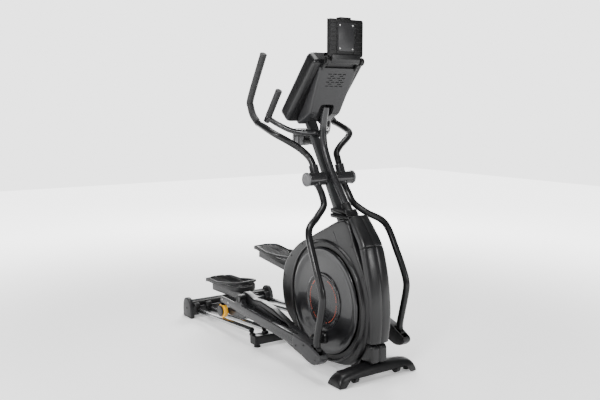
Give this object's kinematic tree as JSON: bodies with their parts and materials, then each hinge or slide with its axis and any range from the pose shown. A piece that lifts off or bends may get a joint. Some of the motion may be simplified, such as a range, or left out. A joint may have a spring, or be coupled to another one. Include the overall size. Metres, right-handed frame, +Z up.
{
  "type": "elliptical trainer",
  "caption": "Front-drive elliptical trainer with swing arms, roller pedal arms on rear rails, a housed flywheel drive, a console and a tilting tablet holder.",
  "frame": {"origin": "centre of the bounding box in plan, on the floor", "axes": "+X the way the user faces, towards the front stabiliser; +Y the user's left; +Z up"},
  "size_m": [1.63, 0.628, 1.796],
  "materials": {
    "frame_paint": null,
    "grey_paint": null,
    "cover_plastic": null,
    "grey_plastic": null,
    "gloss_plastic": null,
    "chrome_rail": null,
    "steel": null,
    "rubber": null,
    "foam_grip": null,
    "roller": null,
    "screen": null,
    "board": null,
    "start_cap": null,
    "stop_cap": null,
    "flywheel_iron": null
  },
  "bodies": {
    "frame": {"main_frame": "frame_paint", "front_stabilizer": "frame_paint", "stabilizer_cover": "cover_plastic", "boot_cover": "cover_plastic", "right_shroud": "cover_plastic", "left_shroud": "cover_plastic", "spine_cover": "cover_plastic", "shroud_screws": "steel", "mast": "frame_paint", "mast_collar": "cover_plastic", "console_tube": "frame_paint", "pivot_axle": "steel", "axle_caps": "grey_plastic", "guide_rails": "chrome_rail", "rear_stabilizer": "cover_plastic", "tube_end_caps": "grey_plastic", "mid_foot": "cover_plastic", "crank_bearings": "steel", "drive_belt": "rubber", "brake_magnet": "frame_paint", "control_board": "board", "power_inlet": "cover_plastic", "console_frame": "cover_plastic", "console_back": "grey_plastic", "display": "screen", "fixed_handlebar": "frame_paint", "fixed_grips": "foam_grip", "bottle_holder": "cover_plastic"},
    "crank": {"crank_axle": "steel", "drive_pulley": "cover_plastic", "right_crank_disc": "gloss_plastic", "left_crank_disc": "gloss_plastic"},
    "flywheel": {"flywheel": "flywheel_iron"},
    "idler": {"idler_pulley": "cover_plastic"},
    "right_pedal_arm": {"right_pedal_arm": "grey_paint"},
    "right_rollers": {"right_rollers": "roller"},
    "right_foot_arm": {"right_foot_arm": "grey_paint", "right_foot_cover": "grey_plastic", "right_pedal": "cover_plastic"},
    "right_swing_arm": {"right_sleeve": "frame_paint", "right_lower_arm": "frame_paint", "right_upper_bar": "frame_paint", "right_grip": "foam_grip"},
    "right_transport_wheel": {"right_transport_wheel": "rubber"},
    "right_leveler": {"right_leveler": "rubber"},
    "left_pedal_arm": {"left_pedal_arm": "grey_paint"},
    "left_rollers": {"left_rollers": "roller"},
    "left_foot_arm": {"left_foot_arm": "grey_paint", "left_foot_cover": "grey_plastic", "left_pedal": "cover_plastic"},
    "left_swing_arm": {"left_sleeve": "frame_paint", "left_lower_arm": "frame_paint", "left_upper_bar": "frame_paint", "left_grip": "foam_grip"},
    "left_transport_wheel": {"left_transport_wheel": "rubber"},
    "left_leveler": {"left_leveler": "rubber"},
    "tablet_holder": {"tablet_holder": "cover_plastic"},
    "tablet_lip": {"tablet_lip": "cover_plastic"},
    "start_button": {"start_button": "start_cap"},
    "stop_button": {"stop_button": "stop_cap"}
  },
  "joints": [
    {"name": "crank_turn", "type": "hinge", "parent": "frame", "child": "crank", "pos_m": [0.435, 0, 0.34], "axis": [0, 1, 0], "range_deg": [-20, 20]},
    {"name": "flywheel_spin", "type": "hinge", "parent": "frame", "child": "flywheel", "pos_m": [0.68, 0, 0.33], "axis": [0, 1, 0], "range_deg": [-101, 101]},
    {"name": "idler_spin", "type": "hinge", "parent": "frame", "child": "idler", "pos_m": [0.62807, 0, 0.24344], "axis": [0, 1, 0], "range_deg": [-152, 152]},
    {"name": "right_arm_slide", "type": "slide", "parent": "frame", "child": "right_pedal_arm", "axis": [0.9978, 0, 0.0663], "range_m": [-0.0705, 0.0705]},
    {"name": "right_roller_spin", "type": "hinge", "parent": "right_pedal_arm", "child": "right_rollers", "pos_m": [-0.35, 0, 0.13207], "axis": [0, 1, 0], "range_deg": [-97, 97]},
    {"name": "right_foot_hinge", "type": "hinge", "parent": "right_pedal_arm", "child": "right_foot_arm", "pos_m": [-0.12122, 0, 0.25439], "axis": [0, 1, 0], "range_deg": [-1.6, 1.6]},
    {"name": "right_arm_swing", "type": "hinge", "parent": "frame", "child": "right_swing_arm", "pos_m": [0.366, 0, 0.976], "axis": [0, 1, 0], "range_deg": [-5.1, 5.1]},
    {"name": "right_wheel_spin", "type": "hinge", "parent": "frame", "child": "right_transport_wheel", "pos_m": [0.766, 0, 0.032], "axis": [0, 1, 0], "continuous": true},
    {"name": "right_level", "type": "slide", "parent": "frame", "child": "right_leveler", "axis": [0, 0, 1], "range_m": [-0.004, 0.008]},
    {"name": "left_arm_slide", "type": "slide", "parent": "frame", "child": "left_pedal_arm", "axis": [0.9978, 0, 0.0663], "range_m": [-0.0705, 0.0705]},
    {"name": "left_roller_spin", "type": "hinge", "parent": "left_pedal_arm", "child": "left_rollers", "pos_m": [-0.24, 0, 0.13938], "axis": [0, 1, 0], "range_deg": [-97, 97]},
    {"name": "left_foot_hinge", "type": "hinge", "parent": "left_pedal_arm", "child": "left_foot_arm", "pos_m": [-0.10345, 0, 0.35996], "axis": [0, 1, 0], "range_deg": [-1.6, 1.6]},
    {"name": "left_arm_swing", "type": "hinge", "parent": "frame", "child": "left_swing_arm", "pos_m": [0.366, 0, 0.976], "axis": [0, 1, 0], "range_deg": [-5.1, 5.1]},
    {"name": "left_wheel_spin", "type": "hinge", "parent": "frame", "child": "left_transport_wheel", "pos_m": [0.766, 0, 0.032], "axis": [0, 1, 0], "continuous": true},
    {"name": "left_level", "type": "slide", "parent": "frame", "child": "left_leveler", "axis": [0, 0, 1], "range_m": [-0.004, 0.008]},
    {"name": "holder_tilt", "type": "hinge", "parent": "frame", "child": "tablet_holder", "pos_m": [0.489, 0, 1.579], "axis": [0, 1, 0], "range_deg": [0, 25]},
    {"name": "lip_slide", "type": "slide", "parent": "tablet_holder", "child": "tablet_lip", "axis": [0, 0, 1], "range_m": [0, 0.05]},
    {"name": "start_press", "type": "slide", "parent": "frame", "child": "start_button", "axis": [0.7501, 0, -0.6613], "range_m": [0, 0.0015], "stiffness_N_per_m": 500},
    {"name": "stop_press", "type": "slide", "parent": "frame", "child": "stop_button", "axis": [0.7501, 0, -0.6613], "range_m": [0, 0.0015], "stiffness_N_per_m": 500}
  ],
  "couplings": [
    {"joint": "flywheel_spin", "follows": "crank_turn", "ratio": 5},
    {"joint": "idler_spin", "follows": "crank_turn", "ratio": -7.5},
    {"joint": "right_arm_slide", "follows": "crank_turn", "m_per_rad": -0.2},
    {"joint": "right_roller_spin", "follows": "crank_turn", "ratio": -4.7619},
    {"joint": "right_foot_hinge", "follows": "crank_turn", "ratio": 0.0715},
    {"joint": "right_arm_swing", "follows": "crank_turn", "ratio": 0.245},
    {"joint": "left_arm_slide", "follows": "crank_turn", "m_per_rad": 0.2},
    {"joint": "left_roller_spin", "follows": "crank_turn", "ratio": 4.7619},
    {"joint": "left_foot_hinge", "follows": "crank_turn", "ratio": -0.0715},
    {"joint": "left_arm_swing", "follows": "crank_turn", "ratio": -0.245}
  ]
}
